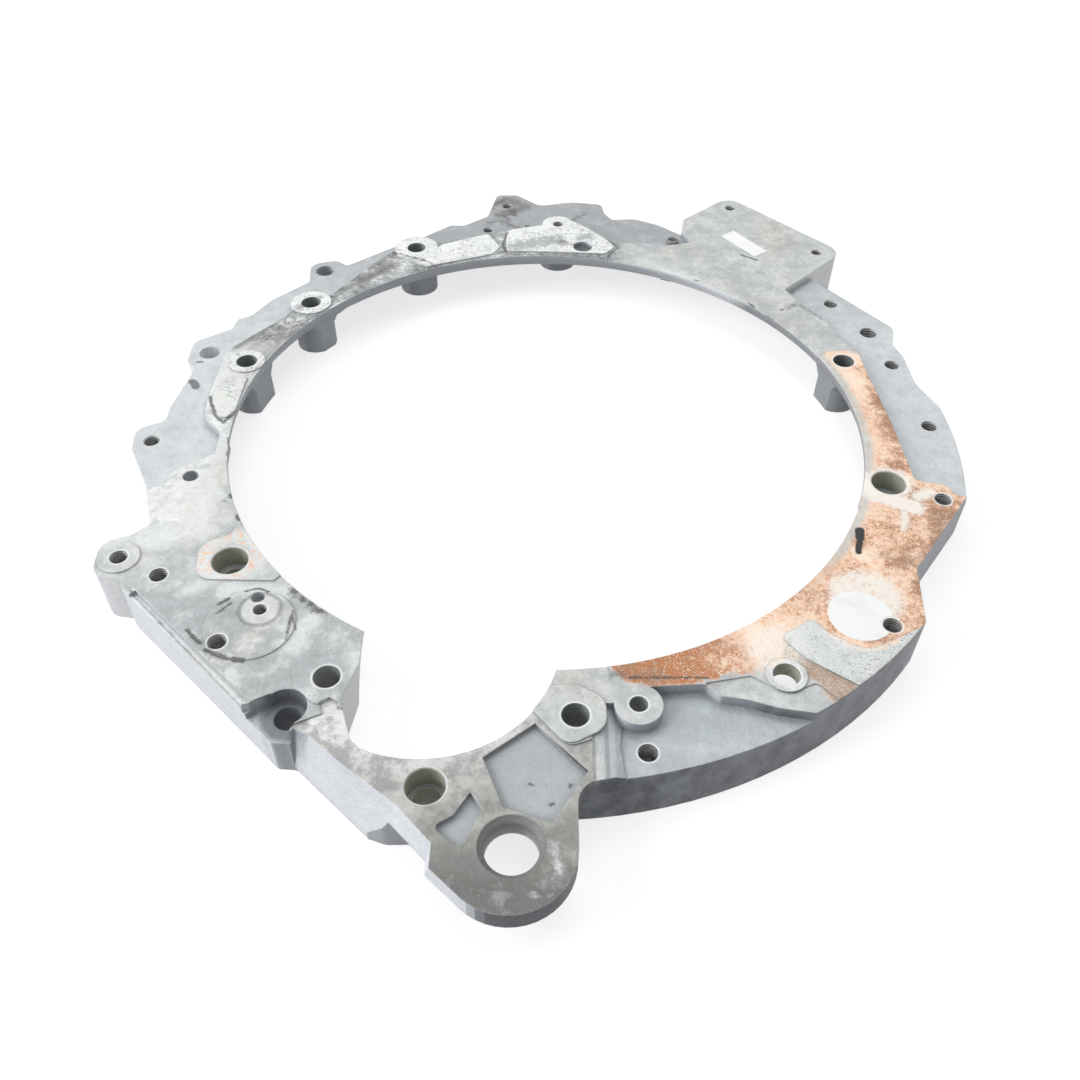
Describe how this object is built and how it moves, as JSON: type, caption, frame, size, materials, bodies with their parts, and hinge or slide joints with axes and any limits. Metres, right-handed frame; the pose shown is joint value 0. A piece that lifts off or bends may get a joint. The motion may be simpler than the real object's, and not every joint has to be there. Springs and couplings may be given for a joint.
{
  "type": "transmission adapter plate",
  "caption": "Cast ring plate with a large round opening, a starter cut-out, a chamfered-bore lobe, a square side flange and many bolt holes, for joining an engine to a gearbox.",
  "frame": {"origin": "middle of the plate's outline box, on the plane it rests on", "axes": "+Z out of the engine side, -Y towards the lobe, +X towards the side with the curved rim"},
  "size_m": [0.445, 0.5422, 0.029],
  "materials": {
    "cast_aluminium": "used as-cast with machined lands",
    "label": "matt paper"
  },
  "bodies": {
    "root": {"adapter_plate": "cast_aluminium", "round_label": "label", "strip_label": "label"}
  },
  "joints": []
}
